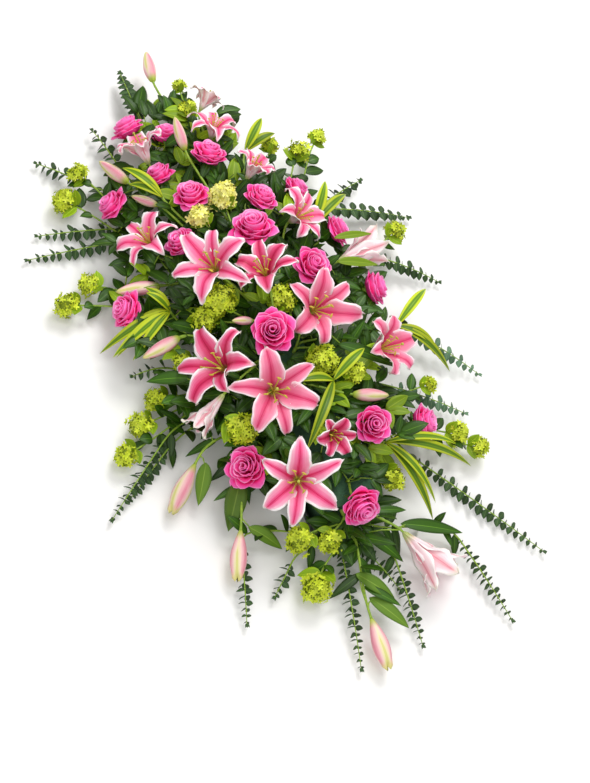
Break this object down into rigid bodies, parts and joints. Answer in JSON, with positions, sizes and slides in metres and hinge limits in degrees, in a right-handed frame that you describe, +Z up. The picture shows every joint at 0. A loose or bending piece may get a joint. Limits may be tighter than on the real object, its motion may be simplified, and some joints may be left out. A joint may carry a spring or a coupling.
{
  "type": "casket spray",
  "caption": "Long low oval flower arrangement of pink roses, open lilies and buds, green guelder rose heads, eucalyptus and striped leaves in a foam-filled tray.",
  "frame": {"origin": "middle of the tray's flat underside, where it rests on a lid", "axes": "+X along the spray to its foot end, +Y to its right-hand side, +Z up"},
  "size_m": [1.505, 0.92, 0.2661],
  "materials": {
    "rose_petal": "matte, deep in the folds and lighter on the petals' rims",
    "lily_petal": "satin, spotted deep pink ribs fading to white wavy margins",
    "pale_floret": "matte",
    "lime_floret": "matte",
    "eucalyptus_leaf": "matte with a grey bloom",
    "strap_leaf": "satin, dark green middle stripe and yellow-green margins",
    "wet_foam": "matte, fine open grain",
    "tray_plastic": "satin"
  },
  "bodies": {
    "root": {"rose_1": "rose_petal", "rose_2": "rose_petal", "rose_3": "rose_petal", "rose_4": "rose_petal", "rose_5": "rose_petal", "rose_6": "rose_petal", "rose_7": "rose_petal", "rose_8": "rose_petal", "rose_9": "rose_petal", "rose_10": "rose_petal", "rose_11": "rose_petal", "rose_12": "rose_petal", "rose_13": "rose_petal", "rose_14": "rose_petal", "rose_15": "rose_petal", "rose_16": "rose_petal", "rose_17": "rose_petal", "rose_18": "rose_petal", "rose_19": "rose_petal", "lily_1": "lily_petal", "lily_2": "lily_petal", "lily_3": "lily_petal", "lily_4": "lily_petal", "lily_5": "lily_petal", "lily_6": "lily_petal", "lily_7": "lily_petal", "lily_8": "lily_petal", "lily_9": "lily_petal", "lily_10": "lily_petal", "lily_11": "lily_petal", "lily_12": "lily_petal", "lily_13": "lily_petal", "guelder_1": "pale_floret", "guelder_2": "lime_floret", "guelder_3": "lime_floret", "guelder_4": "lime_floret", "guelder_5": "lime_floret", "guelder_6": "lime_floret", "guelder_7": "lime_floret", "guelder_8": "lime_floret", "guelder_9": "lime_floret", "guelder_10": "lime_floret", "guelder_11": "lime_floret", "eucalyptus_1": "eucalyptus_leaf", "eucalyptus_2": "eucalyptus_leaf", "eucalyptus_3": "eucalyptus_leaf", "eucalyptus_4": "eucalyptus_leaf", "eucalyptus_5": "eucalyptus_leaf", "eucalyptus_6": "eucalyptus_leaf", "eucalyptus_7": "eucalyptus_leaf", "strap_leaves_1": "strap_leaf", "strap_leaves_2": "strap_leaf", "strap_leaves_3": "strap_leaf", "strap_leaves_4": "strap_leaf", "strap_leaves_5": "strap_leaf", "strap_leaves_6": "strap_leaf", "strap_leaves_7": "strap_leaf", "foam": "wet_foam", "tray": "tray_plastic"}
  },
  "joints": []
}
